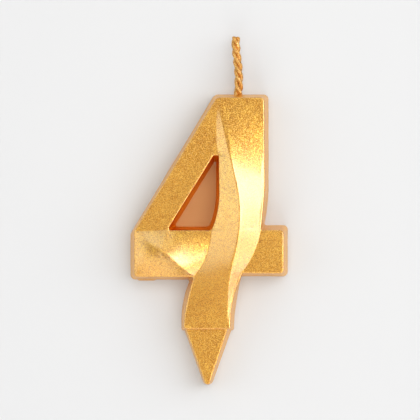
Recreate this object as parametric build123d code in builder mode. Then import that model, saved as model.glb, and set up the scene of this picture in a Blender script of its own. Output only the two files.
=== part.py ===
"""Number birthday candle: a faceted figure four cast in wax, with its stake, gold lacquer and wick.

Millimetres. +X is to the reader's right, +Z is up the figure, the faceted front faces -Y and the flat
back faces +Y. The origin is on the stake's axis, level with the underside of the figure's foot, and
halfway through the thickness of the figure's edges.
"""

import os
from math import cos, pi, sin, tan, radians

from build123d import *

# Figure, measured on its flat back
figure_top = 62.7
figure_right = 16.1
waist_right = 15.0
waist_top = 38.5
arm_right = 21.2
arm_top = 28.0
arm_bottom = 14.3
arm_root = 9.1
bar_left = -20.6
bar_bottom = 13.6
bar_root = -4.75
brow_left = 1.75
brow_slope = 1.655
foot_left = -7.05
foot_right = 6.9
calf_height = 7.0
calf_left = -6.7
calf_right = 7.35
corner_radius = 1.1
brow_radius = 2.0
inner_radius = 0.5

# Thickness, and the draft that lets the casting leave its mould
edge_thickness = 9.6
back_y = edge_thickness / 2
draft_angle = 5.0

# Window of the four, measured on its front edge
window_apex = 1.45
window_top = 46.4
window_right = 2.9
window_turn = 36.5
window_turn_right = 0.9
window_bottom = 26.6
window_slope = 1.62
window_radius = 0.6

# Ridge down the stem: height, left foot, crest and right foot of each section
stem_rise = 2.4
stem_ridge_top = 60.9
stem_ridge_bottom = 1.0
stem_stations = [
    (60.4, 2.1, 2.2, 15.2),
    (54.0, 2.0, 3.9, 15.2),
    (47.5, 2.1, 5.5, 15.2),
    (41.0, 2.5, 7.0, 15.2),
    (35.0, 2.4, 8.25, 15.05),
    (29.5, 1.6, 8.5, 14.4),
    (24.5, 0.6, 8.1, 14.05),
    (19.0, -0.8, 7.1, 11.8),
    (14.0, -3.6, 6.0, 8.0),
    (9.0, -5.35, 5.6, 6.75),
    (4.5, -6.05, 5.6, 6.2),
    (1.1, -6.05, 5.7, 5.9),
]

# Ridge across the bar, from its upper outer corner down to the root of its lower edge
bar_rise = 2.25
bar_fold_left = Vector(-18.8, 0, 26.6)
bar_fold_right = Vector(1.5, 0, 26.6)
bar_edge_left = Vector(-19.3, 0, 14.8)
bar_edge_right = Vector(-2.5, 0, 14.5)
bar_crest_start = 25.4
bar_sections = 11
bar_margin = 0.02

# Both ridges start a little below the front level and are founded well inside the casting
ridge_sink = 0.05
ridge_base = 2.0

# Stake, measured on its back
stake_half_width = 6.3
stake_point = 18.55
stake_tip_radius = 1.5
stake_set_back = 1.0
stake_back_step = 0.12
stake_root = 1.5

# Lacquer film and wick
lacquer_thickness = 0.15
ply_count = 3
ply_radius = 0.5
ply_circle_radius = 0.62
ply_pitch = 12.7
steps_per_turn = 8
arc_share = 0.45
channel_radius = 1.15
channel_length = 64.0
wick_route = [
    Vector(3.5, 0, 2.0),
    Vector(8.25, 0, 63.6),
    Vector(8.05, -0.1, 69.5),
    Vector(7.2, -0.2, 75.9),
    Vector(7.35, -0.1, 77.7),
]


def tall_edge(part: BuildPart, across: float, up: float) -> Edge:
    """The edge that runs from back to front nearest to a place on the figure's outline."""
    return part.edges().sort_by_distance((across, 0, up))[0]


def window_plug(skin: float) -> Part:
    """The space inside the window, which widens towards the front with the draft."""
    foot = window_apex - (window_top - window_bottom) / window_slope
    front = Plane.XZ.offset(back_y)
    with BuildPart() as plug:
        with BuildSketch(front):
            with BuildLine():
                Line((window_apex, window_top), (window_right, window_top))
                Line((window_right, window_top), (window_right, window_turn))
                TangentArc((window_right, window_turn), (window_turn_right, window_bottom), tangent=(0, -1))
                Line((window_turn_right, window_bottom), (foot, window_bottom))
                Line((foot, window_bottom), (window_apex, window_top))
            make_face()
            if skin:
                offset(amount=skin, kind=Kind.INTERSECTION)
        extrude(amount=edge_thickness, both=True)
        draft(plug.faces().filter_by(Axis.Y, reverse=True), front, -draft_angle)
        for across in (window_turn_right, foot):
            fillet(tall_edge(plug, across, window_bottom), window_radius)
    return plug.part


def plain_figure(skin: float) -> Part:
    """The figure's outline drawn forward from the back to the front level, with draft on every wall."""
    brow_foot = figure_top - (brow_left - bar_left) * brow_slope
    back = Plane.XZ.offset(skin - back_y)
    with BuildPart() as figure:
        with BuildSketch(back):
            with BuildLine():
                Line((foot_left, 0), (foot_right, 0))
                ThreePointArc((foot_right, 0), (calf_right, calf_height), (arm_root, arm_bottom))
                Line((arm_root, arm_bottom), (arm_right, arm_bottom))
                Line((arm_right, arm_bottom), (arm_right, arm_top))
                Line((arm_right, arm_top), (waist_right, arm_top))
                TangentArc((figure_right, waist_top), (waist_right, arm_top), tangent=(0, -1))
                Line((figure_right, waist_top), (figure_right, figure_top))
                Line((figure_right, figure_top), (brow_left, figure_top))
                Line((brow_left, figure_top), (bar_left, brow_foot))
                Line((bar_left, brow_foot), (bar_left, bar_bottom))
                Line((bar_left, bar_bottom), (bar_root, bar_bottom))
                ThreePointArc((bar_root, bar_bottom), (calf_left, calf_height), (foot_left, 0))
            make_face()
            if skin:
                offset(amount=-skin, kind=Kind.INTERSECTION)
        extrude(amount=edge_thickness - 2 * skin)
        draft(figure.faces().filter_by(Axis.Y, reverse=True), back, draft_angle)
        for across, up, radius in (
            (arm_right, arm_bottom, corner_radius),
            (arm_right, arm_top, corner_radius),
            (bar_left, bar_bottom, corner_radius),
            (figure_right, figure_top, corner_radius),
            (brow_left, figure_top, brow_radius),
            (bar_left, brow_foot, brow_radius),
            (waist_right, arm_top, inner_radius),
            (arm_root, arm_bottom, inner_radius),
            (foot_left, 0, inner_radius),
            (foot_right, 0, inner_radius),
        ):
            fillet(tall_edge(figure, across, up), radius)
    return figure.part


def ridge_profile(left: float, crest: float, right: float, rise: float, level: float) -> None:
    """Closed line of a ridge's section: a roof of a given rise on a block founded inside the casting."""
    Polyline(
        (left, ridge_base),
        (left, level + ridge_sink),
        (crest, level + ridge_sink - rise),
        (right, level + ridge_sink),
        (right, ridge_base),
        close=True,
    )


def stem_ridge(skin: float) -> Part:
    """Ridge whose crest winds down the stem and rises as a sine, to the power 1.5, of the way along it."""
    with BuildPart() as ridge:
        for height, left, crest, right in stem_stations:
            way = (stem_ridge_top - height) / (stem_ridge_top - stem_ridge_bottom)
            rise = (stem_rise + ridge_sink) * sin(pi * way) ** 1.5
            with BuildSketch(Plane.XY.offset(height)):
                with BuildLine():
                    ridge_profile(left + skin, crest, right - skin, rise, skin - back_y)
                make_face()
        loft()
    return ridge.part


def bar_ridge(skin: float) -> Part:
    """Ridge with a straight crest across the bar, which rises and falls as a sine of the way along it."""
    fall = (bar_crest_start - bar_edge_right.Z) / (bar_edge_right.X - bar_fold_left.X)
    with BuildPart() as ridge:
        for number in range(bar_sections):
            way = bar_margin + (1 - 2 * bar_margin) * number / (bar_sections - 1)
            fold = bar_fold_left + (bar_fold_right - bar_fold_left) * way
            edge = bar_edge_left + (bar_edge_right - bar_edge_left) * way
            crest_at_fold = bar_crest_start - fall * (fold.X - bar_fold_left.X)
            share = (fold.Z - crest_at_fold) / (fold.Z - edge.Z + fall * (fold.X - edge.X))
            rise = (bar_rise + ridge_sink) * sin(pi * way)
            across = edge - fold
            section = Plane(origin=fold, x_dir=across, z_dir=across.cross(Vector(0, 1, 0)))
            with BuildSketch(section):
                with BuildLine():
                    ridge_profile(0, share * across.length, across.length, rise, skin - back_y)
                make_face()
        loft()
    return ridge.part


def stake(skin: float) -> Part:
    """Flat tapering stake under the foot, set back from the figure's front and back, with a round tip."""
    back = Plane.XZ.offset(skin + stake_back_step - back_y)
    with BuildPart() as spike:
        with BuildSketch(back):
            with BuildLine():
                Polyline(
                    (stake_half_width, stake_root),
                    (stake_half_width, 0),
                    (0, -stake_point),
                    (-stake_half_width, 0),
                    (-stake_half_width, stake_root),
                    close=True,
                )
            make_face()
            if skin:
                offset(amount=-skin, kind=Kind.INTERSECTION)
        extrude(amount=edge_thickness - stake_set_back - stake_back_step - 2 * skin)
        draft(spike.faces().filter_by(Axis.Y, reverse=True), back, draft_angle)
        fillet(tall_edge(spike, 0, -stake_point), stake_tip_radius)
    return spike.part


def solid_candle(skin: float) -> Part:
    """Figure, ridges and stake in one, with every outer surface drawn in by the skin's thickness."""
    with BuildPart() as candle:
        add(plain_figure(skin))
        add(stem_ridge(skin))
        add(bar_ridge(skin))
        add(stake(skin))
        add(window_plug(skin), mode=Mode.SUBTRACT)
    return candle.part


def ply_path(number: int) -> list[Vector]:
    """Points of one ply, wound round the wick's route an even number of steps to the turn."""
    lengths = [(end - start).length for start, end in zip(wick_route, wick_route[1:])]
    total = sum(lengths)
    steps = round(total / ply_pitch * steps_per_turn)
    points = []
    for step in range(steps + 1):
        travelled = total * step / steps
        run = 0
        while run < len(lengths) - 1 and travelled > lengths[run]:
            travelled -= lengths[run]
            run += 1
        heading = (wick_route[run + 1] - wick_route[run]).normalized()
        side = heading.cross(Vector(0, 1, 0)).normalized()
        front = side.cross(heading)
        turn = 2 * pi * (step / steps_per_turn + number / ply_count)
        centre = wick_route[run] + heading * travelled
        points.append(centre + (side * cos(turn) + front * sin(turn)) * ply_circle_radius)
    return points


def twisted_ply(number: int) -> Part:
    """One ply of the wick: a round tube along straight runs joined by large tangent arcs."""
    points = ply_path(number)
    radii = []
    for before, here, after in zip(points, points[1:], points[2:]):
        half_turn = radians((here - before).get_angle(after - here)) / 2
        radii.append(arc_share * min((here - before).length, (after - here).length) / tan(half_turn))
    with BuildPart() as ply:
        with BuildLine() as path:
            FilletPolyline(*points, radius=radii)
        route = path.wires()[0]
        with BuildSketch(Plane(origin=route @ 0, z_dir=route % 0)):
            Circle(ply_radius)
        sweep(path=route)
    print(
        f"ply {number + 1}: smallest bend {min(radii):.1f}, length {route.length:.2f}, "
        f"volume {ply.part.volume:.3f} against {route.length * pi * ply_radius ** 2:.3f}"
    )
    return ply.part


def wick_channel() -> Part:
    """Straight round bore for the wick, from inside the foot up through the top of the figure."""
    heading = (wick_route[1] - wick_route[0]).normalized()
    with BuildPart() as bore:
        with BuildSketch(Plane(origin=wick_route[0] - heading * ply_radius, z_dir=heading)):
            Circle(channel_radius)
        extrude(amount=channel_length)
    return bore.part


candle_core = solid_candle(lacquer_thickness)
candle_outside = solid_candle(0)
channel = wick_channel()

with BuildPart() as wax_body:
    add(candle_core)
    add(channel, mode=Mode.SUBTRACT)
wax_body.part.label = "wax_body"

with BuildPart() as gold_lacquer:
    add(candle_outside)
    add(candle_core, mode=Mode.SUBTRACT)
    add(channel, mode=Mode.SUBTRACT)
gold_lacquer.part.label = "gold_lacquer"

os.makedirs("parts", exist_ok=True)
export_step(wax_body.part, "parts/wax_body.step")
export_step(gold_lacquer.part, "parts/gold_lacquer.step")
for number in range(ply_count):
    wick_ply = twisted_ply(number)
    wick_ply.label = f"wick_ply_{number + 1}"
    export_step(wick_ply, f"parts/{wick_ply.label}.step")
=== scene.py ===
"""Looks of the number birthday candle: lacquered wax figure, its stake, the twisted wick, and a plain studio.

Lengths are in millimetres until a mesh is made, and metres in the meshes. X is to the reader's right, Z is up
the figure, the faceted front faces -Y. Outlines are pairs (across, up) in the plane of the figure's face.
"""
import logging
import math
from dataclasses import dataclass, field
from enum import Enum

import bmesh
import bpy
import numpy as np
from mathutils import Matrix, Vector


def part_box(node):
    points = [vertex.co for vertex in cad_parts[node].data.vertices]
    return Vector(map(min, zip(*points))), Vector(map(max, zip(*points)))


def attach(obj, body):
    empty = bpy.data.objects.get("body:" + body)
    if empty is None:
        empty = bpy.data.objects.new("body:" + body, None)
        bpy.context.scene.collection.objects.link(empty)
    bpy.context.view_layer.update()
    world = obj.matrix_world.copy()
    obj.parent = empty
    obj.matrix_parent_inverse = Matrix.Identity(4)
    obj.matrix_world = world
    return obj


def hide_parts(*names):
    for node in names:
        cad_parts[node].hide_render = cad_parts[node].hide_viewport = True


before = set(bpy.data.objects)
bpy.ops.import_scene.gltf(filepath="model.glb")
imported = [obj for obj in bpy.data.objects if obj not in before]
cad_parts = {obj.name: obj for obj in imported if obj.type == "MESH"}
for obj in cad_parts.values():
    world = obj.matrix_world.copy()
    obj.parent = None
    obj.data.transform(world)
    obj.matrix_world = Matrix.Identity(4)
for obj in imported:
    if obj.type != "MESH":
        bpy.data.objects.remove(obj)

LOG = logging.getLogger("candle")
Array = np.ndarray
Point = tuple[float, float]
Colour = tuple[float, float, float]
Place = tuple[float, float, float]

MM = 0.001
BODY = "root"
# Points nearer to each other than this, in metres, become one.
MERGE_DISTANCE = 2e-6
# Edges shorter than this, in metres, are taken out.
SLIVER = MERGE_DISTANCE / 4
# How far the card lies in front of the candle's back, in metres.
CARD_PRESS = 0.35 * MM
# Stand-in for the lacquer's thickness, in millimetres.
FILM_DEPTH = 0.2
# Times that the normals are evened out before a surface is moved along them.
EVENING_ROUNDS = 2
# Keeps a length that is divided by away from zero.
TINY = 1e-6


class Slot(Enum):
    """Material slots of the record, named in the log with each piece."""

    WAX = "paraffin_wax"
    LACQUER = "gold_lacquer"
    WICK = "wick_cotton"


# ---------------------------------------------------------------- curves and grids


def graded(count: int, ease: float = 0.5) -> Array:
    """Shares from 0 to 1, closer together towards both ends.

    Formula: (1 - ease) times the even share u, plus ease times half of one minus the cosine of pi u.

    Args:
        count: number of intervals.
        ease: 0 for even spacing, 1 for full cosine spacing.

    Returns:
        count + 1 rising shares.
    """
    even = np.linspace(0.0, 1.0, count + 1)
    return (1 - ease) * even + ease * (1 - np.cos(np.pi * even)) / 2


def unit(vector: Array) -> Array:
    """A vector, or each row of an array of vectors, at length one."""
    return vector / np.linalg.norm(vector, axis=-1, keepdims=True)


def bezier(controls: Array, share: Array) -> Array:
    """Points of a Bezier curve of any order, by repeated blending of neighbouring controls.

    Args:
        controls: (k, d) control points.
        share: (n,) shares of the way along it.

    Returns:
        (n, d) points.
    """
    level = np.repeat(np.asarray(controls, float)[:, None, :], len(share), axis=1)
    while len(level) > 1:
        level = level[:-1] * (1 - share)[None, :, None] + level[1:] * share[None, :, None]
    return level[0]


def arc_share(points: Array) -> Array:
    """Share of a line's length at each of its points, from 0 to 1."""
    steps = np.linalg.norm(np.diff(points, axis=0), axis=1)
    total = np.concatenate([[0.0], np.cumsum(steps)])
    return total / total[-1]


def pinned(curve: Array, start: Array, end: Array) -> Array:
    """Moves a curve so that its two ends meet two points, with the shift blended evenly between them.

    Args:
        curve: (n, d) points.
        start: where the first point goes.
        end: where the last point goes.

    Returns:
        (n, d) moved points.
    """
    share = arc_share(curve)[:, None]
    return curve + (start - curve[0]) * (1 - share) + (end - curve[-1]) * share


def coons(bottom: Array, top: Array, left: Array, right: Array) -> Array:
    """Coons patch: the two blends of opposite sides added, less the blend of the four corners.

    Args:
        bottom: (c, d) side at row 0, from left to right.
        top: (c, d) side at the last row, from left to right.
        left: (r, d) side at column 0, from bottom to top.
        right: (r, d) side at the last column, from bottom to top.

    Returns:
        (r, c, d) grid of points.
    """
    across = arc_share(bottom if np.ptp(bottom, axis=0).max() > 0 else top)[None, :, None]
    up = arc_share(left if np.ptp(left, axis=0).max() > 0 else right)[:, None, None]
    rows = bottom[None] * (1 - up) + top[None] * up
    columns = left[:, None] * (1 - across) + right[:, None] * across
    corners = (bottom[0] * (1 - across) + bottom[-1] * across) * (1 - up) + (
        top[0] * (1 - across) + top[-1] * across
    ) * up
    return rows + columns - corners


def spline_through(places: Array, values: Array, at: Array) -> Array:
    """Values of a smooth curve through points.

    Formula: cubic Hermite pieces whose slopes are those between the neighbouring points.

    Args:
        places: (k,) rising places of the points.
        values: (k,) values there.
        at: (n,) places to read the curve at.

    Returns:
        (n,) values.
    """
    slopes = np.gradient(values, places)
    index = np.clip(np.searchsorted(places, at) - 1, 0, len(places) - 2)
    gap = places[index + 1] - places[index]
    way = np.clip((at - places[index]) / gap, 0, 1)
    blend = way * way * (3 - 2 * way)
    return (
        values[index] * (1 - blend)
        + values[index + 1] * blend
        + gap * (slopes[index] * way * (1 - way) ** 2 - slopes[index + 1] * way * way * (1 - way))
    )


# ---------------------------------------------------------------- outlines


@dataclass(frozen=True)
class Side:
    """One side of a closed outline: its first corner, how round that is, and how the side runs on from it."""

    corner: Point
    radius: float
    count: int
    bend: Point | None = None


# Intervals in each half of a rounded corner.
CORNER_STEPS = 5


def half_corner(corner: Array, along: Array, other: Array, radius: float, steps: int) -> Array:
    """Half of a rounded corner, from its middle out to where it meets one of its sides.

    Formula: a circle of the radius that touches both sides, turned from the bisector by up to half of the
    angle that the outline turns through.

    Args:
        corner: where the two sides would meet.
        along: unit vector out of the corner along the wanted side.
        other: unit vector out of the corner along the other side.
        radius: radius of the rounding.
        steps: number of intervals.

    Returns:
        (steps + 1, 2) points, or the bare corner where the radius is 0.
    """
    if radius == 0:
        return corner[None]
    bisector = unit(along + other)
    half = math.acos(float(np.clip(along @ bisector, -1, 1)))
    outward = unit(along - math.cos(half) * bisector)
    centre = corner + bisector * radius / math.sin(half)
    turn = np.linspace(0, math.pi / 2 - half, steps + 1)[:, None]
    return centre + radius * (np.sin(turn) * outward - np.cos(turn) * bisector)


def sampled(sides: list[Side], shares: dict[int, Array] | None = None) -> list[Array]:
    """Points of each side of a closed outline, from the middle of its first corner to that of the next.

    Args:
        sides: the outline's sides in order.
        shares: for some sides, the shares of the run between their corners at which points lie.

    Returns:
        One (count + 1, 2) array for each side.
    """
    corners = [np.array(side.corner) for side in sides]
    total = len(sides)
    result = []
    for index, side in enumerate(sides):
        start, end = corners[index], corners[(index + 1) % total]
        before, after = sides[index - 1], sides[(index + 1) % total]
        leaving = unit((np.array(side.bend) if side.bend else end) - start)
        arriving = unit((np.array(side.bend) if side.bend else start) - end)
        behind = unit((np.array(before.bend) if before.bend else corners[index - 1]) - start)
        ahead = unit((np.array(after.bend) if after.bend else corners[(index + 2) % total]) - end)
        first = half_corner(start, leaving, behind, side.radius, CORNER_STEPS)
        last = half_corner(end, arriving, ahead, after.radius, CORNER_STEPS)
        middle = side.count - (len(first) - 1) - (len(last) - 1)
        share = graded(middle) if not shares or index not in shares else shares[index]
        controls = [first[-1], np.array(side.bend), last[-1]] if side.bend else [first[-1], last[-1]]
        run = bezier(np.array(controls), share)
        result.append(np.concatenate([first, run[1:-1], last[::-1]]))
    return result


def joined(parts: list[Array]) -> Array:
    """Lines that follow each other, as one line without the repeated joints."""
    return np.concatenate([parts[0]] + [part[1:] for part in parts[1:]])


def inward(loop: Array, inside: bool = True) -> Array:
    """Unit normals of a closed loop of points.

    Args:
        loop: (n, 2) points, turning either way.
        inside: whether they point to the inside of the loop or away from it.

    Returns:
        (n, 2) unit vectors.
    """
    tangent = np.roll(loop, -1, axis=0) - np.roll(loop, 1, axis=0)
    normal = unit(np.stack([-tangent[:, 1], tangent[:, 0]], axis=1))
    following = np.roll(loop, -1, axis=0)
    area = np.sum(loop[:, 0] * following[:, 1] - loop[:, 1] * following[:, 0])
    return normal * np.sign(area) * (1 if inside else -1)


@dataclass(frozen=True)
class Rim:
    """The wall between a front outline and a back outline, with a rounded edge at each."""

    front_y: float
    back_y: float
    front_round: float = 0.4
    back_round: float = 0.3
    round_steps: int = 5
    wall_steps: int = 18

    def rings(
        self, front: Array, front_wax: Array, back: Array, back_wax: Array, sink: Array | float = 0.0
    ) -> Array:
        """Rings of the wall, as a profile carried round the outline.

        Formula: each rounded edge is a quadratic Bezier curve between the face and the wall, and the wall is
        the straight blend from the front outline to the back one.

        Args:
            front: (n, 2) front outline.
            front_wax: (n, 2) unit vectors in the face's plane from the front outline into the wax.
            back: (n, 2) back outline, point for point with the front.
            back_wax: the same vectors for the back outline.
            sink: how far each point of the front outline lies behind the front level.

        Returns:
            (rings, n, 3) points from the front face's border to the back face's border.
        """
        depth = self.back_y - self.front_y
        first, last = self.front_round / depth, 1 - self.back_round / depth
        share = (first + (last - first) * graded(self.wall_steps))[:, None, None]
        start, end = self._at(front, self.front_y + sink), self._at(back, self.back_y)
        wall = start[None] * (1 - share) + end[None] * share
        turn = np.linspace(0, 1, self.round_steps + 1)
        front_border = self._at(front + front_wax * self.front_round, self.front_y + sink)
        back_border = self._at(back + back_wax * self.back_round, self.back_y)
        front_edge = self._edge(front_border, start, wall[0], turn)
        back_edge = self._edge(wall[-1], end, back_border, turn)
        return np.concatenate([front_edge[:-1], wall, back_edge[1:]])

    @staticmethod
    def _at(flat: Array, y: Array | float) -> Array:
        """Pairs (across, up) as points at a depth."""
        return np.stack([flat[:, 0], np.broadcast_to(y, len(flat)), flat[:, 1]], axis=1)

    @staticmethod
    def _edge(start: Array, corner: Array, end: Array, turn: Array) -> Array:
        """Rounds the edge between two loops of points.

        Args:
            start: (n, 3) loop where the edge starts.
            corner: the loop that it bends towards.
            end: the loop where it ends.
            turn: (k,) shares of the way round the edge.

        Returns:
            (k, n, 3) points of quadratic Bezier curves.
        """
        t = turn[:, None, None]
        return start[None] * (1 - t) ** 2 + corner[None] * 2 * t * (1 - t) + end[None] * t**2


# ---------------------------------------------------------------- meshes


def close_up(mesh: bpy.types.Mesh, sliver: float = 0.0) -> None:
    """Merges the points of a mesh that coincide, turns its faces outwards and logs what is left open.

    Args:
        mesh: the mesh.
        sliver: edges shorter than this, in metres, are taken out.
    """
    work = bmesh.new()
    work.from_mesh(mesh)
    bmesh.ops.remove_doubles(work, verts=work.verts, dist=MERGE_DISTANCE)
    if sliver:
        bmesh.ops.dissolve_degenerate(work, edges=work.edges, dist=sliver)
    bmesh.ops.recalc_face_normals(work, faces=work.faces)
    open_edges = sum(1 for edge in work.edges if len(edge.link_faces) != 2)
    work.to_mesh(mesh)
    work.free()
    mesh.shade_smooth()
    LOG.info("%s: %d faces, %d open edges", mesh.name, len(mesh.polygons), open_edges)


@dataclass
class Skin:
    """Grids of points gathered into one closed mesh."""

    name: str
    points: list[Array] = field(default_factory=list)
    faces: list[Array] = field(default_factory=list)
    count: int = 0

    def add(self, grid: Array, closed: bool = False) -> None:
        """Adds a grid of points as quads.

        Args:
            grid: (rows, columns, 3) points in millimetres.
            closed: whether the last column joins the first.
        """
        rows, columns = grid.shape[:2]
        index = np.arange(rows * columns).reshape(rows, columns) + self.count
        if closed:
            index = np.concatenate([index, index[:, :1]], axis=1)
        quads = np.stack([index[:-1, :-1], index[:-1, 1:], index[1:, 1:], index[1:, :-1]], axis=2)
        self.points.append(grid.reshape(-1, 3))
        self.faces.append(quads.reshape(-1, 4))
        self.count += rows * columns

    def build(self) -> bpy.types.Object:
        """Merges the seams, turns every face outwards and returns the new object.

        Returns:
            The object, at the origin, with smooth shading.
        """
        mesh = bpy.data.meshes.new(self.name)
        mesh.from_pydata((np.concatenate(self.points) * MM).tolist(), [], np.concatenate(self.faces).tolist())
        close_up(mesh, SLIVER)
        piece = bpy.data.objects.new(self.name, mesh)
        bpy.context.scene.collection.objects.link(piece)
        return piece


# ---------------------------------------------------------------- the figure


@dataclass(frozen=True)
class Outline:
    """The figure's outline and its window's, at one depth, both anticlockwise as the reader sees them."""

    outer: tuple[Side, ...]
    window: tuple[Side, ...]


class Run(Enum):
    """Sides of the outer outline, in order."""

    CALF = 0
    SOLE = 1
    SHIN = 2
    ARM_UNDER = 3
    ARM_END = 4
    ARM_TOP = 5
    HIP = 6
    BACK = 7
    CROWN = 8
    SLOPE = 9
    BAR_END = 10
    BAR_UNDER = 11


class Pane(Enum):
    """Sides of the window, in order."""

    SILL = 0
    KNEE = 1
    POST = 2
    PEAK = 3
    SLANT = 4


COUNTS = {
    Run.CALF: 44, Run.SOLE: 46, Run.SHIN: 46, Run.ARM_UNDER: 16, Run.ARM_END: 40, Run.ARM_TOP: 16,
    Run.HIP: 34, Run.BACK: 70, Run.CROWN: 22, Run.SLOPE: 142, Run.BAR_END: 30, Run.BAR_UNDER: 58,
}
PANE_COUNTS = {Pane.SILL: 34, Pane.KNEE: 28, Pane.POST: 32, Pane.PEAK: 12, Pane.SLANT: 84}
# The fold, the valleys and the sides that they face have to come to the same number of intervals.
FOLD_COUNT = COUNTS[Run.BAR_UNDER] - PANE_COUNTS[Pane.SILL]
VALLEY_COUNT = 40
BROW_VALLEY_COUNT = 46
# The stem's crest starts at this point of the sole, which lies at this share of its straight run.
CREST_COLUMN = 24
CREST_AT_SOLE = 0.965
SOLE_SHARES = np.concatenate(
    [
        CREST_AT_SOLE * graded(CREST_COLUMN - CORNER_STEPS),
        CREST_AT_SOLE + (1 - CREST_AT_SOLE) * graded(COUNTS[Run.SOLE] - CREST_COLUMN - CORNER_STEPS)[1:],
    ]
)


def outer_sides(corners: dict[str, tuple[Point, float]], bends: dict[Run, Point]) -> tuple[Side, ...]:
    """Sides of the outer outline from its named corners.

    Args:
        corners: place and rounding of each corner, in the order of the runs.
        bends: where the curved runs bend towards.

    Returns:
        The sides, in order.
    """
    return tuple(
        Side(place, radius, COUNTS[run], bends.get(run))
        for run, (place, radius) in zip(Run, corners.values(), strict=True)
    )


def window_sides(corners: dict[str, tuple[Point, float]], bend: Point) -> tuple[Side, ...]:
    """Sides of the window from its named corners.

    Args:
        corners: place and rounding of each corner, in the order of the panes.
        bend: where the knee bends towards.

    Returns:
        The sides, in order.
    """
    return tuple(
        Side(place, radius, PANE_COUNTS[pane], bend if pane is Pane.KNEE else None)
        for pane, (place, radius) in zip(Pane, corners.values(), strict=True)
    )


FRONT_OUTLINE = Outline(
    outer=outer_sides(
        {
            "bar_root": ((-3.8, 14.35), 0.4),
            "foot_left": ((-6.35, 0.65), 0.55),
            "foot_right": ((5.95, 0.65), 0.55),
            "arm_root": ((9.1, 15.25), 0.4),
            "arm_low": ((20.0, 15.25), 1.15),
            "arm_high": ((20.0, 26.7), 1.15),
            "waist": ((13.95, 26.7), 0.4),
            "back_turn": ((15.0, 38.55), 0.0),
            "crown_right": ((14.85, 61.6), 1.15),
            "crown_left": ((2.25, 61.6), 1.7),
            "brow": ((-19.45, 26.45), 2.0),
            "bar_low": ((-19.45, 14.35), 1.15),
        },
        {Run.CALF: (-6.4, 5.4), Run.SHIN: (5.8, 8.3), Run.HIP: (14.7, 33.5)},
    ),
    window=window_sides(
        {
            "sill_left": ((-10.7, 26.65), 0.6),
            "sill_right": ((0.9, 26.65), 1.3),
            "knee": ((2.9, 36.45), 0.0),
            "peak_right": ((2.8, 46.3), 0.25),
            "peak_left": ((1.45, 46.3), 0.25),
        },
        (2.9, 31.7),
    ),
)

BACK_OUTLINE = Outline(
    outer=outer_sides(
        {
            "bar_root": ((-4.8, 13.45), 0.5),
            "foot_left": ((-7.05, 0.0), 0.6),
            "foot_right": ((6.9, 0.0), 0.6),
            "arm_root": ((8.85, 14.35), 0.5),
            "arm_low": ((21.2, 14.35), 1.3),
            "arm_high": ((21.2, 28.0), 1.3),
            "waist": ((14.95, 28.0), 0.5),
            "back_turn": ((16.1, 38.6), 0.0),
            "crown_right": ((16.1, 62.65), 1.3),
            "crown_left": ((1.7, 62.65), 1.9),
            "brow": ((-20.6, 25.7), 2.2),
            "bar_low": ((-20.6, 13.5), 1.3),
        },
        {Run.CALF: (-7.25, 7.85), Run.SHIN: (7.05, 5.95), Run.HIP: (16.1, 33.3)},
    ),
    window=window_sides(
        {
            "sill_left": ((-8.85, 27.6), 0.5),
            "sill_right": ((0.2, 27.6), 1.2),
            "knee": ((2.1, 37.0), 0.0),
            "peak_right": ((2.1, 44.7), 0.08),
            "peak_left": ((1.7, 44.7), 0.05),
        },
        (2.1, 32.2),
    ),
)


@dataclass(frozen=True)
class Relief:
    """The ridges of the faceted front: heights above the flat level, and where their crests run."""

    stem_rise: float = 2.4
    stem_power: float = 1.5
    bar_rise: float = 2.35
    bar_skew: float = 1.12
    corner_sink: float = 1.5
    crest_round: float = 0.2
    crest_up: tuple[float, ...] = (
        1.0, 5.0, 9.0, 15.0, 18.0, 21.5, 25.5, 29.0, 31.5, 35.0, 38.0, 42.0, 45.5, 49.5, 54.5, 61.0,
    )
    crest_across: tuple[float, ...] = (
        5.4, 5.6, 5.55, 6.1, 6.65, 7.45, 8.15, 8.4, 8.4, 8.15, 7.6, 6.7, 5.9, 4.85, 3.7, 2.35,
    )
    root_valley_bend: Point = (0.6, 19.5)
    arm_valley_bend: Point = (12.65, 20.1)
    brow_valley: tuple[Point, ...] = ((2.3, 47.4), (2.05, 49.0), (2.0, 57.0))

    def crest(self, up: Array) -> Array:
        """How far across the stem's crest lies at each height."""
        return spline_through(np.array(self.crest_up), np.array(self.crest_across), up)

    def stem_height(self, share: Array) -> Array:
        """Height of the stem's crest: the rise times the sine of pi times the share, to a power."""
        return self.stem_rise * np.sin(np.pi * np.clip(share, 0, 1)) ** self.stem_power

    def bar_height(self, share: Array) -> Array:
        """Height of the bar's crest: the rise times the sine of pi times the share raised to a skew."""
        return self.bar_rise * np.sin(np.pi * np.clip(share, 0, 1) ** self.bar_skew)

    def softened(self, near: Array, width: Array) -> Array:
        """Share of the crest's height at a share of the way to it, with the crest itself rounded.

        Formula: one minus the distance from the crest, where that distance is the hypotenuse of itself and a
        small rounding, less the rounding, brought back to run from 0 to 1.

        Args:
            near: 0 at the foot of the facet, 1 at the crest.
            width: width of the facet in millimetres.

        Returns:
            Shares of the height.
        """
        small = self.crest_round / np.maximum(width, self.crest_round)
        away = np.sqrt((1 - near) ** 2 + small**2) - small
        farthest = np.sqrt(1 + small**2) - small
        return 1 - away / farthest


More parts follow.
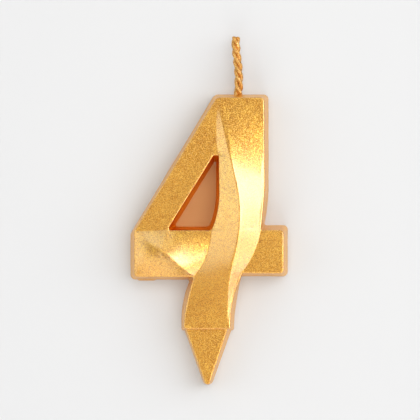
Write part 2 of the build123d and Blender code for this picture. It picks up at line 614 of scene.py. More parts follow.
class Face:
    """One face of the figure, front or back, as patches that meet along shared lines."""

    def __init__(self, outline: Outline, relief: Relief, inset: float, level: float, raised: bool) -> None:
        """Samples the outlines and lays the patches' borders.

        Args:
            outline: the outlines at the face's depth.
            relief: lines and heights of the facets.
            inset: how far the face's border lies inside the outline.
            level: y of the flat parts.
            raised: whether the facets stand above the flat level.
        """
        self.relief = relief
        self.level = level
        self.raised = raised
        self.outer_loop = joined(sampled(list(outline.outer), {Run.SOLE.value: SOLE_SHARES}))[:-1]
        self.window_loop = joined(sampled(list(outline.window)))[:-1]
        self.outer_wax = inward(self.outer_loop)
        self.window_wax = inward(self.window_loop, inside=False)
        self._outer = self._split(self.outer_loop + self.outer_wax * inset, COUNTS)
        self._window = self._split(self.window_loop + self.window_wax * inset, PANE_COUNTS)

    @staticmethod
    def _split(loop: Array, counts: dict[Enum, int]) -> dict[Enum, Array]:
        """Cuts a closed loop of points back into its named sides.

        Args:
            loop: (n, 2) points.
            counts: intervals of each side, in order.

        Returns:
            The points of each side, both ends included.
        """
        ends = np.cumsum([0] + list(counts.values()))
        closed = np.concatenate([loop, loop[:1]])
        return {name: closed[ends[i] : ends[i + 1] + 1] for i, name in enumerate(counts)}

    def sink(self) -> Array:
        """How far each point of the outer border lies behind the flat level.

        Formula: nothing, apart from a rise and fall along the bar's end and underside, straight on each, with
        the most at the corner between them.

        Returns:
            (n,) depths.
        """
        depths = {run: np.zeros(len(line)) for run, line in self._outer.items()}
        depths[Run.BAR_END] = arc_share(self._outer[Run.BAR_END])
        depths[Run.BAR_UNDER] = 1 - arc_share(self._outer[Run.BAR_UNDER])
        return self.relief.corner_sink * np.concatenate([depth[:-1] for depth in depths.values()]) * self.raised

    def patches(self) -> list[Array]:
        """Lays the lines that the facets share, and the facets between them.

        Returns:
            Grids (rows, columns, 3) in millimetres.
        """
        outer, pane = self._outer, self._window
        brow = outer[Run.BAR_END][0]
        root = outer[Run.CALF][0]
        crown = outer[Run.SLOPE][0]
        sill_left, sill_right = pane[Pane.SILL][0], pane[Pane.SILL][-1]
        peak = pane[Pane.PEAK][0]
        relief = self.relief
        valley = graded(VALLEY_COUNT)
        root_valley = pinned(bezier(np.array([sill_right, relief.root_valley_bend, root]), valley), sill_right, root)
        arm_valley = bezier(
            np.array([outer[Run.ARM_UNDER][0], relief.arm_valley_bend, outer[Run.ARM_TOP][-1]]), valley
        )
        brow_valley = bezier(np.array([peak, *relief.brow_valley, crown]), graded(BROW_VALLEY_COUNT))
        fold = bezier(np.array([brow, sill_left]), graded(FOLD_COUNT))
        ridge = bezier(np.array([brow, root]), graded(COUNTS[Run.BAR_UNDER]))
        return [
            *self._stem(root_valley, arm_valley, brow_valley),
            *self._bar(fold, ridge, root_valley),
            self._slope(fold, brow_valley, crown),
            self._arm(arm_valley),
        ]

    def _lift(self, flat: Array, height: Array | float = 0.0) -> Array:
        """Gives a grid of (across, up) its depth.

        Args:
            flat: (rows, columns, 2) points.
            height: how far each stands above the level, where the face is raised.

        Returns:
            (rows, columns, 3) points.
        """
        y = self.level - (np.broadcast_to(height, flat.shape[:2]) if self.raised else np.zeros(flat.shape[:2]))
        return np.stack([flat[..., 0], y, flat[..., 1]], axis=2)

    def _facet(self, flat: Array, height: Array, axis: int, foot: int) -> Array:
        """Raises a facet from its foot to its crest.

        Formula: the height is the crest's, times the softened share of the way from the foot to the crest.

        Args:
            flat: (rows, columns, 2) points in plan.
            height: the crest's heights, which spread over the grid.
            axis: the grid's axis that runs between foot and crest.
            foot: 0 where the foot comes first along it, -1 where it comes last.

        Returns:
            (rows, columns, 3) points.
        """
        near = np.linalg.norm(flat - np.take(flat, [foot], axis=axis), axis=2)
        width = np.maximum(np.take(near, [-1 - foot], axis=axis), TINY)
        return self._lift(flat, height * self.relief.softened(np.clip(near / width, 0, 1), width))

    def _stem(self, root_valley: Array, arm_valley: Array, brow_valley: Array) -> list[Array]:
        """The stem's two facets, one each side of its crest, each a Coons patch in plan.

        Args:
            root_valley: the valley between the stem and the bar on the left.
            arm_valley: the valley between the stem and the bar's right end.
            brow_valley: the valley between the stem and the diagonal limb.

        Returns:
            The left facet's grid and the right one's.
        """
        outer, pane = self._outer, self._window
        left = joined([outer[Run.CALF][::-1], root_valley[::-1], pane[Pane.KNEE], pane[Pane.POST], brow_valley])
        right = joined([outer[Run.SHIN], arm_valley, outer[Run.HIP], outer[Run.BACK]])
        sole, crown = outer[Run.SOLE], outer[Run.CROWN][::-1]
        up = (left[:, 1] + right[:, 1]) / 2
        crest = pinned(np.stack([self.relief.crest(up), up], axis=1), sole[CREST_COLUMN], crown[0])
        point = np.repeat(crown[:1], CREST_COLUMN + 1, axis=0)
        share = (crest[:, 1] - crest[0, 1]) / (crest[-1, 1] - crest[0, 1])
        height = self.relief.stem_height(share)[:, None]
        return [
            self._facet(coons(sole[: CREST_COLUMN + 1], point, left, crest), height, axis=1, foot=0),
            self._facet(coons(sole[CREST_COLUMN:], crown, crest, right), height, axis=1, foot=-1),
        ]

    def _bar(self, fold: Array, ridge: Array, root_valley: Array) -> list[Array]:
        """The bar's two facets, above and below its ridge, each narrowing to a point at one end of it.

        Formula: both are Coons patches in plan, and the lower facet also sinks towards the bar's lower corner,
        as a Coons blend of the sinks along its sides.

        Args:
            fold: the line between the bar and the diagonal limb.
            ridge: the bar's crest, in plan.
            root_valley: the valley between the bar and the stem.

        Returns:
            The upper facet's grid and the lower one's.
        """
        top = joined([fold, self._window[Pane.SILL]])
        under = self._outer[Run.BAR_UNDER]
        end = self._outer[Run.BAR_END]
        apex = np.repeat(ridge[:1], len(root_valley), axis=0)
        tail = np.repeat(ridge[-1:], len(end), axis=0)
        height = self.relief.bar_height(arc_share(ridge))[None, :]
        upper = self._facet(coons(top, ridge, apex, root_valley), height, axis=0, foot=0)
        lower = self._facet(coons(ridge, under, end, tail), height, axis=0, foot=-1)
        level_ridge, level_tail = np.zeros(len(ridge)), np.zeros(len(end))
        sink = coons(
            *(line[:, None] for line in (level_ridge, 1 - arc_share(under), arc_share(end), level_tail))
        )
        lower[..., 1] += self.relief.corner_sink * sink[..., 0] * self.raised
        return [upper, lower]

    def _slope(self, fold: Array, brow_valley: Array, crown: Array) -> Array:
        """The flat diagonal limb, narrowing to a point at the crown."""
        right = joined([self._window[Pane.SLANT][::-1], self._window[Pane.PEAK][::-1], brow_valley])
        left = self._outer[Run.SLOPE][::-1]
        return self._lift(coons(fold, np.repeat(crown[None], len(fold), axis=0), left, right))

    def _arm(self, arm_valley: Array) -> Array:
        """The flat end of the bar, right of the stem."""
        return self._lift(
            coons(self._outer[Run.ARM_UNDER], self._outer[Run.ARM_TOP][::-1], arm_valley, self._outer[Run.ARM_END])
        )


@dataclass(frozen=True)
class Casting:
    """Small marks that the mould left on the cast figure."""

    ripple: float = 0.016
    ripple_waves: int = 18
    ripple_overlap: float = 6.0
    ripple_lengths: Point = (4.0, 14.0)
    seed: int = 4
    dent_place: Point = (-11.9, 20.1)
    dent_size: Point = (1.1, 0.35)
    dent_depth: float = 0.16
    dent_slope: float = -0.62
    flash_drop: float = 0.3
    flash_run: Point = (-18.8, -13.6)
    flash_fades: Point = (0.5, 0.8)
    flash_from_y: float = 3.0
    flash_step: float = 1.2
    flash_band: Point = (5.0, 14.2)
    wick_place: Point = (8.25, 0.0)
    crown_from: float = 61.0
    meniscus_height: float = 0.55
    meniscus_reach: float = 1.7

    def worked(self, points: Array) -> Array:
        """Points moved by the marks, as a smooth function of place so that seams stay closed.

        Formula: the ripple is a sum of sine waves of seeded directions, lengths and phases. The dent and the
        meniscus are bells, and the flash is a smooth step along the bar's underside near the back.

        Args:
            points: (n, 3) points in millimetres.

        Returns:
            (n, 3) moved points.
        """
        rng = np.random.default_rng(self.seed)
        length = rng.uniform(*self.ripple_lengths, self.ripple_waves)
        wave = unit(rng.normal(size=(self.ripple_waves, 3))) * (2 * np.pi / length)[:, None]
        phase = rng.uniform(0, 2 * np.pi, self.ripple_waves)
        push = unit(rng.normal(size=(self.ripple_waves, 3))) * self.ripple
        push /= math.sqrt(self.ripple_waves / self.ripple_overlap)
        moved = points + np.sin(points @ wave.T + phase) @ push
        x, y, z = points.T
        angle = math.atan(self.dent_slope)
        across, up = x - self.dent_place[0], z - self.dent_place[1]
        along = (across * math.cos(angle) + up * math.sin(angle)) / self.dent_size[0]
        over = (up * math.cos(angle) - across * math.sin(angle)) / self.dent_size[1]
        moved[:, 1] += self.dent_depth * np.exp(-(along**2 + over**2)) * (y < 0)
        (run_start, run_end), (fade_in, fade_out), (low, high) = self.flash_run, self.flash_fades, self.flash_band
        ends = np.clip((x - run_start) / fade_in, 0, 1) * np.clip((run_end - x) / fade_out, 0, 1)
        step = np.clip((y - self.flash_from_y) / self.flash_step, 0, 1)
        moved[:, 2] -= self.flash_drop * ends * step * (z < high) * (z > low)
        away = np.hypot(x - self.wick_place[0], y - self.wick_place[1])
        moved[:, 2] += self.meniscus_height * np.exp(-((away / self.meniscus_reach) ** 2)) * (z > self.crown_from)
        return moved


@dataclass
class Figure:
    """The faceted figure with its stake, as one closed surface."""

    name: str
    front_y: float
    back_y: float
    relief: Relief = Relief()
    casting: Casting = Casting()

    def build(self) -> bpy.types.Object:
        """Builds the figure and joins the stake to its foot.

        Returns:
            The finished object.
        """
        rim = Rim(self.front_y, self.back_y)
        front = Face(FRONT_OUTLINE, self.relief, rim.front_round, rim.front_y, raised=True)
        back = Face(BACK_OUTLINE, self.relief, rim.back_round, rim.back_y, raised=False)
        body = Skin(self.name)
        for grid in front.patches() + back.patches():
            body.add(self._worked(grid))
        outer = rim.rings(front.outer_loop, front.outer_wax, back.outer_loop, back.outer_wax, front.sink())
        window = rim.rings(front.window_loop, front.window_wax, back.window_loop, back.window_wax)
        body.add(self._worked(outer), closed=True)
        body.add(self._worked(window), closed=True)
        return united(body.build(), Stake(self.name + "_stake", self.front_y, self.back_y).build())

    def _worked(self, grid: Array) -> Array:
        """A grid with the casting's marks."""
        return self.casting.worked(grid.reshape(-1, 3)).reshape(grid.shape)


class Spike(Enum):
    """Sides of the stake's outline, in order."""

    LEFT = 0
    RIGHT = 1
    ROOT = 2


SPIKE_COUNTS = {Spike.LEFT: 52, Spike.RIGHT: 52, Spike.ROOT: 34}


@dataclass(frozen=True)
class Taper:
    """One outline of the stake: a place on its left side, its point, its right side at that height, its tip."""

    left: Point
    point: Point
    right_x: float
    tip_radius: float


@dataclass
class Stake:
    """The flat tapered stake under the foot, which is pushed into the cake."""

    name: str
    figure_front_y: float
    figure_back_y: float
    set_back: float = 1.0
    back_step: float = 0.12
    root_up: float = 1.3
    root_radius: float = 0.4
    front: Taper = Taper((-5.75, 0.3), (-0.13, -15.55), 5.1, 0.75)
    back: Taper = Taper((-6.3, 0.3), (0.0, -17.3), 6.3, 1.5)

    def build(self) -> bpy.types.Object:
        """Builds the stake: two three-sided faces that narrow to its tip, and the wall between them.

        Returns:
            The closed stake.
        """
        rim = Rim(self.figure_front_y + self.set_back, self.figure_back_y - self.back_step)
        front, back = self._loop(self.front), self._loop(self.back)
        body = Skin(self.name)
        rings = rim.rings(front, inward(front), back, inward(back))
        body.add(rings, closed=True)
        body.add(self._panel(rings[0]))
        body.add(self._panel(rings[-1]))
        return body.build()

    def _loop(self, taper: Taper) -> Array:
        """One outline of the stake, with the sides carried up into the foot.

        Args:
            taper: the outline's shape below the foot.

        Returns:
            (n, 2) points, anticlockwise from the root's left end.
        """
        (left_x, left_up), (point_x, point_up) = taper.left, taper.point
        share = (self.root_up - point_up) / (left_up - point_up)
        root_left = (point_x + (left_x - point_x) * share, self.root_up)
        root_right = (point_x + (taper.right_x - point_x) * share, self.root_up)
        sides = [
            Side(root_left, self.root_radius, SPIKE_COUNTS[Spike.LEFT]),
            Side(taper.point, taper.tip_radius, SPIKE_COUNTS[Spike.RIGHT]),
            Side(root_right, self.root_radius, SPIKE_COUNTS[Spike.ROOT]),
        ]
        return joined(sampled(sides))[:-1]

    @staticmethod
    def _panel(border: Array) -> Array:
        """A three-sided Coons patch inside a border, with its point at the tip.

        Args:
            border: (n, 3) points round the outline.

        Returns:
            (rows, columns, 3) points.
        """
        closed = np.concatenate([border, border[:1]])
        tip = SPIKE_COUNTS[Spike.LEFT]
        down = closed[: tip + 1]
        up = closed[tip : tip + SPIKE_COUNTS[Spike.RIGHT] + 1]
        root = closed[-SPIKE_COUNTS[Spike.ROOT] - 1 :]
        return coons(np.repeat(down[-1:], len(root), axis=0), root[::-1], down[::-1], up)


def united(first: bpy.types.Object, second: bpy.types.Object) -> bpy.types.Object:
    """Joins two closed pieces into the first, with the parts inside each other cut away.

    Args:
        first: the piece that stays.
        second: the piece that is joined to it and removed.

    Returns:
        The first piece, with one closed surface.
    """
    joint = first.modifiers.new("union", "BOOLEAN")
    joint.operation = "UNION"
    joint.solver = "EXACT"
    joint.object = second
    bpy.context.view_layer.update()
    result = bpy.data.meshes.new_from_object(first.evaluated_get(bpy.context.evaluated_depsgraph_get()))
    first.modifiers.clear()
    first.data = result
    result.name = first.name
    bpy.data.objects.remove(second)
    close_up(result)
    return first


def shrunk(outer: bpy.types.Object, name: str, depth: float) -> bpy.types.Object:
    """Makes what lies under a film: a copy of a closed piece with its surface moved inwards.

    Formula: each point moves by the depth against its normal. The normal is first evened out, as the unit sum
    of itself and its neighbours' normals, so the slivers along a seam don't throw a point outwards.
    Nothing comes nearer than the depth to the level of the piece's back.

    Args:
        outer: the closed piece.
        name: the copy's name.
        depth: how far the surface moves, in millimetres.

    Returns:
        The copy, as closed as the piece is.
    """
    mesh = outer.data.copy()
    mesh.name = name
    points, normals = np.empty(len(mesh.vertices) * 3), np.empty(len(mesh.vertices) * 3)
    mesh.vertices.foreach_get("co", points)
    mesh.vertices.foreach_get("normal", normals)
    edges = np.empty(len(mesh.edges) * 2, dtype=np.int64)
    mesh.edges.foreach_get("vertices", edges)
    normals, (start, end) = normals.reshape(-1, 3), edges.reshape(-1, 2).T
    for _ in range(EVENING_ROUNDS):
        total = normals.copy()
        np.add.at(total, start, normals[end])
        np.add.at(total, end, normals[start])
        normals = total / np.maximum(np.linalg.norm(total, axis=1, keepdims=True), TINY)
    moved = points.reshape(-1, 3) - normals * depth * MM
    moved[:, 1] = np.minimum(moved[:, 1], points[1::3].max() - depth * MM)
    mesh.vertices.foreach_set("co", moved.ravel())
    mesh.update()
    core = bpy.data.objects.new(name, mesh)
    bpy.context.scene.collection.objects.link(core)
    LOG.info("%s: %d faces, %.2f mm inside %s", name, len(mesh.polygons), depth, outer.name)
    return core


# ---------------------------------------------------------------- the wick


@dataclass
class Wick:
    """A three-ply twisted cotton wick, painted with the lacquer where it stands out of the wax."""

    route: tuple[tuple[float, float, float], ...] = (
        (3.5, 0.0, 2.0),
        (8.25, 0.0, 63.6),
        (8.05, -0.1, 69.5),
        (7.2, -0.2, 75.9),
        (7.35, -0.1, 77.7),
    )
    plies: int = 3
    ply_radius: float = 0.56
    circle_radius: float = 0.6
    pitch: float = 7.6
    strands: int = 6
    strand_lay: float = 0.8
    lobe: float = 0.1
    lobe_power: float = 0.7
    lobe_middle: float = 0.6
    unevenness: float = 0.05
    wander_waves: int = 5
    wander_strengths: Point = (0.3, 1.0)
    wander_rates: Point = (0.8, 2.6)
    swell_rates: Point = (1.5, 2.5)
    lump: float = 0.035
    lump_counts: tuple[int, ...] = (1, 2, 3, 5)
    lump_strengths: Point = (0.2, 0.6)
    lump_rates: Point = (2.0, 9.0)
    phases: Point = (0.0, 6.28)
    shown_from: float = 60.0
    shown_fade: float = 2.0
    end_length: float = 0.5
    end_share: float = 0.55
    tip_rise: Point = (0.12, 0.1)
    hidden_stations: int = 90
    shown_stations: int = 150
    section_points: int = 42
    spline_steps: int = 64
    seed: int = 11

    def build(self) -> list[bpy.types.Object]:
        """Builds the plies.

        Returns:
            One object for each ply.
        """
        line = self._line()
        return [self._ply(line, number) for number in range(self.plies)]

    def _line(self) -> Array:
        """Points along the wick's middle, read from a smooth spline with the route as its controls.

        Returns:
            (n, 3) points in millimetres.
        """
        curve = bpy.data.curves.new("wick_route", "CURVE")
        curve.dimensions = "3D"
        curve.resolution_u = self.spline_steps
        spline = curve.splines.new("NURBS")
        spline.points.add(len(self.route) - 1)
        for point, place in zip(spline.points, self.route):
            point.co = (*place, 1.0)
        spline.order_u = 3
        spline.use_endpoint_u = True
        holder = bpy.data.objects.new("wick_route", curve)
        mesh = bpy.data.meshes.new_from_object(holder)
        points = np.empty(len(mesh.vertices) * 3)
        mesh.vertices.foreach_get("co", points)
        bpy.data.objects.remove(holder)
        bpy.data.curves.remove(curve)
        bpy.data.meshes.remove(mesh)
        return points.reshape(-1, 3)

    def _stations(self, line: Array) -> tuple[Array, Array, Array, Array, Array]:
        """Stations along the line, coarse inside the wax and fine where the wick shows.

        Args:
            line: (n, 3) points of the middle line.

        Returns:
            Distances along, middles, tangents, and the two directions across.
        """
        steps = np.linalg.norm(np.diff(line, axis=0), axis=1)
        run = np.concatenate([[0.0], np.cumsum(steps)])
        start = float(np.interp(self.shown_from, line[:, 2], run))
        at = np.concatenate(
            [
                np.linspace(0, start, self.hidden_stations, endpoint=False),
                np.linspace(start, run[-1], self.shown_stations),
            ]
        )
        middle = np.stack([np.interp(at, run, line[:, axis]) for axis in range(3)], axis=1)
        tangent = unit(np.gradient(middle, at, axis=0))
        towards = np.array([0.0, 1.0, 0.0])
        across = unit(towards - (tangent @ towards)[:, None] * tangent)
        return at, middle, tangent, across, np.cross(tangent, across)

    def _ply(self, line: Array, number: int) -> bpy.types.Object:
        """One ply as a tube with lobes along a helix.

        Formula: the ply's middle turns about the wick's middle once a pitch. Its section is a circle with a
        lobe for each strand, which turn the other way along it, and slow swellings along its length.

        Args:
            line: points of the wick's middle.
            number: which ply.

        Returns:
            The ply's object.
        """
        rng = np.random.default_rng(self.seed + number)
        at, middle, tangent, across, other = self._stations(line)
        turn = -2 * np.pi * at / self.pitch + 2 * np.pi * number / self.plies
        shown = np.clip((at - np.interp(self.shown_from, middle[:, 2], at)) / self.shown_fade, 0, 1)
        wander = sum(
            rng.uniform(*self.wander_strengths)
            * np.sin(at * rng.uniform(*self.wander_rates) + rng.uniform(*self.phases))
            for _ in range(self.wander_waves)
        )
        circle = self.circle_radius * (1 + self.unevenness * wander * shown)
        outward = np.cos(turn)[:, None] * across + np.sin(turn)[:, None] * other
        sideways = np.cross(tangent, outward)
        centre = middle + circle[:, None] * outward
        around = np.linspace(0, 2 * np.pi, self.section_points, endpoint=False)
        strand = around[None, :] + 2 * turn[:, None] * self.strand_lay
        slow = np.sin(at * rng.uniform(*self.swell_rates) + rng.uniform(*self.phases))
        swell = 1 + self.unevenness * slow * shown
        lumps = sum(
            rng.uniform(*self.lump_strengths)
            * np.sin(
                around[None, :] * count + at[:, None] * rng.uniform(*self.lump_rates) + rng.uniform(*self.phases)
            )
            for count in self.lump_counts
        )
        lobes = np.abs(np.cos(strand * self.strands / 2)) ** self.lobe_power - self.lobe_middle
        surface = 1 + self.lobe * lobes * shown[:, None] + self.lump * lumps * shown[:, None]
        radius = self.ply_radius * swell[:, None] * surface
        end = np.clip((at[-1] - at) / self.end_length, 0, 1)
        radius = radius * (self.end_share + (1 - self.end_share) * np.sqrt(end * (2 - end)))[:, None]
        tube = (
            centre[:, None]
            + (radius * np.cos(around))[..., None] * outward[:, None]
            + (radius * np.sin(around))[..., None] * sideways[:, None]
        )
        rise = self.tip_rise[0] + self.tip_rise[1] * rng.uniform()
        tip = np.repeat(centre[-1:] + tangent[-1:] * rise, len(around), axis=0)
        root = np.repeat(centre[:1], len(around), axis=0)
        body = Skin(f"wick_strand_{number + 1}")
        body.add(np.concatenate([root[None], tube, tip[None]]), closed=True)
        return body.build()


# ---------------------------------------------------------------- finishes


@dataclass(frozen=True)
class Spot:
    """An oval in the front view: its centre and half sizes in millimetres, and how far it fades out."""

    centre: Point
    half: Point
    fade: float


class Nodes:
    """A material's node tree, with short ways to add and join nodes."""

    def __init__(self, name: str) -> None:
        """Starts an empty node material."""
        self.material = bpy.data.materials.new(name)
        self.material.use_nodes = True
        self.tree = self.material.node_tree
        self.tree.nodes.clear()

    def add(self, kind: str, **settings: object) -> bpy.types.Node:
        """Adds a node and sets its properties."""
        node = self.tree.nodes.new("ShaderNode" + kind)
        for key, value in settings.items():
            setattr(node, key, value)
        return node

    def feed(self, node: bpy.types.Node, **inputs: object) -> bpy.types.Node:
        """Fills a node's inputs by name, with values or with outputs of other nodes.

        Args:
            node: the node to fill.
            inputs: value or output socket for each input, with _ for a space in its name, or n and its number.

        Returns:
            The node.
        """
        for key, value in inputs.items():
            numbered = key[0] == "n" and key[1:].isdigit()
            socket = node.inputs[int(key[1:])] if numbered else node.inputs[key.replace("_", " ")]
            if isinstance(value, bpy.types.NodeSocket):
                self.tree.links.new(value, socket)
            else:
                socket.default_value = value
        return node

    def math(self, operation: str, first: object, second: object = 0.0, clamp: bool = False) -> bpy.types.NodeSocket:
        """Adds a Math node.

        Args:
            operation: its operation.
            first: a value or an output socket.
            second: another.
            clamp: whether the result is kept between 0 and 1.

        Returns:
            Its output.
        """
        node = self.add("Math", operation=operation, use_clamp=clamp)
        return self.feed(node, n0=first, n1=second).outputs[0]

    def vector(self, operation: str, first: object, second: object) -> bpy.types.NodeSocket:
        """Output of a Vector Math node on two vectors or sockets."""
        return self.feed(self.add("VectorMath", operation=operation), n0=first, n1=second).outputs[0]

    def mix(self, share: bpy.types.NodeSocket, first: object, second: Colour) -> bpy.types.NodeSocket:
        """Output of a Mix node from one colour to another."""
        return self.feed(self.add("Mix", data_type="RGBA"), n0=share, n6=first, n7=(*second, 1)).outputs[2]

    def noise(self, size: float, detail: float, roughness: float = 0.5) -> bpy.types.NodeSocket:
        """Strength of a noise whose features are about so many millimetres across."""
        node, scale = self.add("TexNoise"), 1 / (size * MM)
        self.feed(node, Vector=self.place(), Scale=scale, Detail=detail, Roughness=roughness)
        return node.outputs["Fac"]

    def finished(self, surface: bpy.types.NodeSocket) -> bpy.types.Material:
        """Ends the tree with a surface and returns the material."""
        self.feed(self.add("OutputMaterial"), Surface=surface)
        return self.material

    def ramp(self, share: bpy.types.NodeSocket, stops: list[tuple[float, Colour]]) -> bpy.types.NodeSocket:
        """Adds a colour ramp.

        Args:
            share: what the ramp is read at.
            stops: place and colour of each stop, in rising order.

        Returns:
            Its colour.
        """
        node = self.add("ValToRGB")
        elements = node.color_ramp.elements
        elements[0].position, elements[1].position = stops[0][0], stops[-1][0]
        elements[0].color, elements[1].color = (*stops[0][1], 1), (*stops[-1][1], 1)
        for place, colour in stops[1:-1]:
            elements.new(place).color = (*colour, 1)
        return self.feed(node, Fac=share).outputs["Color"]

    def spot(self, spot: Spot) -> bpy.types.NodeSocket:
        """A soft-edged oval mask in the front view.

        Args:
            spot: the oval.

        Returns:
            1 inside the oval, falling to 0 at its fade.
        """
        (x, z), (half_x, half_z) = spot.centre, spot.half
        offset = self.vector("SUBTRACT", self.place(), (x * MM, 0.0, z * MM))
        scaled = self.vector("MULTIPLY", offset, (1 / (half_x * MM), 0.0, 1 / (half_z * MM)))
        away = self.feed(self.add("VectorMath", operation="LENGTH"), n0=scaled).outputs["Value"]
        return self.feed(self.add("MapRange"), Value=away, n1=1.0, n2=spot.fade, n3=1.0, n4=0.0).outputs[0]

    def place(self) -> bpy.types.NodeSocket:
        """Object coordinates."""
        return self.add("TexCoord").outputs["Object"]


@dataclass(frozen=True)
class GoldLacquer:
    """Metallic gold lacquer, sprayed: fine flakes that lie at small angles to the surface.

    Walls have a thinner cover than the faces, and their colour is turned towards a paler orange as a painted
    reflection of the warm light they catch. The window's own walls are painted a deeper orange, as painted shade
    and gold bounce light in the recess. Sizes of the grain are in millimetres.
    """

    name: str = "sprayed_gold_lacquer"
    deep: Colour = (0.53, 0.18, 0.002)
    mid: Colour = (0.80, 0.335, 0.004)
    pale: Colour = (0.96, 0.56, 0.07)
    # Painted reflection: the paler orange that walls are turned towards, for the warm light they reflect.
    wall: Colour = (0.98, 0.50, 0.05)
    # Painted shade and gold bounce light: the deeper orange of the window's own walls.
    recess_shade_and_bounce: Colour = (0.88, 0.35, 0.0)
    glance: Colour = (1.0, 0.78, 0.46)
    tone_stops: tuple[float, float, float] = (0.3, 0.5, 0.72)
    flake_size: float = 0.13
    flake_tilt: float = 0.33
    flake_share: float = 0.60
    clump_size: float = 0.20
    clump_share: float = 0.28
    cloud_size: float = 6.0
    cloud_share: float = 0.14
    wall_facing: Point = (0.55, 0.2)
    # How far walls are turned towards that painted reflection colour.
    wall_reflection_share: float = 0.6
    wall_uncoated: float = 0.45
    wall_thinness: float = 0.25
    bump_height: float = 0.9
    bump_strength: float = 0.14
    bump_depth: float = 0.03
    roughness: Point = (0.31, 0.43)
    coat_roughness: float = 0.25
    coat_index: float = 2.1
    # The window's area, where its walls get painted shade and bounce light.
    window: Spot = Spot((-2.5, 36.0), (10.0, 19.0), 1.05)

    def material(self) -> bpy.types.Material:
        """Builds the node material.

        Returns:
            The material.
        """
        n = Nodes(self.name)
        flakes = n.add("TexVoronoi", feature="F1")
        n.feed(flakes, Vector=n.place(), Scale=1 / (self.flake_size * MM), Randomness=1.0)
        clumps = n.noise(self.clump_size, 4.0, 0.6)
        clouds = n.noise(self.cloud_size, 3.0)
        on_wall = self._on_wall(n)
        # The window's own walls: they get painted shade and bounce light, and lose the coat.
        inside = n.math("MULTIPLY", on_wall, n.math("MULTIPLY", n.spot(self.window), self._inward(n)))

        flake_tone = n.feed(n.add("SeparateColor"), Color=flakes.outputs["Color"]).outputs[0]
        tone = n.math("MULTIPLY", flake_tone, self.flake_share)
        tone = n.math("ADD", tone, n.math("MULTIPLY", clumps, self.clump_share))
        tone = n.math("ADD", tone, n.math("MULTIPLY", clouds, self.cloud_share))
        sprayed = n.ramp(tone, list(zip(self.tone_stops, (self.deep, self.mid, self.pale), strict=True)))
        # Painted reflection on the walls.
        colour = n.mix(n.math("MULTIPLY", on_wall, self.wall_reflection_share), sprayed, self.wall)
        # Painted shade and gold bounce light on the window's own walls.
        colour = n.mix(inside, colour, self.recess_shade_and_bounce)

        tilt = n.add("VectorMath", operation="SCALE")
        n.feed(tilt, n0=n.vector("SUBTRACT", flakes.outputs["Color"], (0.5, 0.5, 0.5)), Scale=self.flake_tilt)
        bump = n.add("Bump")
        height = n.math("MULTIPLY", clumps, self.bump_height)
        n.feed(bump, Strength=self.bump_strength, Distance=self.bump_depth * MM, Height=height)
        leaning = n.vector("ADD", bump.outputs[0], tilt.outputs[0])
        normal = n.feed(n.add("VectorMath", operation="NORMALIZE"), n0=leaning).outputs[0]

        smooth, rough = self.roughness
        roughness = n.feed(n.add("MapRange"), Value=clumps, n3=smooth, n4=rough).outputs[0]
        coated = n.math("SUBTRACT", 1.0, n.math("MULTIPLY", on_wall, self.wall_uncoated))
        thin = n.math("MULTIPLY", n.math("SUBTRACT", on_wall, inside, clamp=True), self.wall_thinness)
        shader = n.feed(
            n.add("BsdfPrincipled"),
            Base_Color=colour,
            Metallic=n.math("SUBTRACT", 1.0, thin),
            Roughness=roughness,
            Normal=normal,
            Coat_Weight=n.math("SUBTRACT", coated, inside, clamp=True),
            Coat_Roughness=self.coat_roughness,
            Coat_IOR=self.coat_index,
            Specular_Tint=(*self.glance, 1),
        )
        return n.finished(shader.outputs[0])

    def _on_wall(self, n: Nodes) -> bpy.types.NodeSocket:
        """Tells walls, whose normals lie in the plane of the figure, from faces.

        Args:
            n: the nodes to add to.

        Returns:
            1 on a wall, 0 on a face.
        """
        normal = n.feed(n.add("SeparateXYZ"), Vector=n.add("TexCoord").outputs["Normal"])
        facing = n.math("ABSOLUTE", normal.outputs["Y"])
        face, wall = self.wall_facing
        return n.feed(n.add("MapRange"), Value=facing, n1=face, n2=wall, n3=0.0, n4=1.0).outputs[0]

    def _inward(self, n: Nodes) -> bpy.types.NodeSocket:
        """Tells the window's own walls from the candle's outer walls.

        Formula: the surface faces the window's centre where its normal and the way to it from the centre have
        a product below zero.

        Args:
            n: the nodes to add to.

        Returns:
            1 on a surface that faces the window's centre, 0 elsewhere.
        """
        x, z = self.window.centre
        away = n.vector("SUBTRACT", n.place(), (x * MM, 0.0, z * MM))
        flat = n.vector("MULTIPLY", away, (1.0, 0.0, 1.0))
        product = n.add("VectorMath", operation="DOT_PRODUCT")
        n.feed(product, n0=flat, n1=n.add("TexCoord").outputs["Normal"])
        return n.math("LESS_THAN", product.outputs["Value"], 0.0)


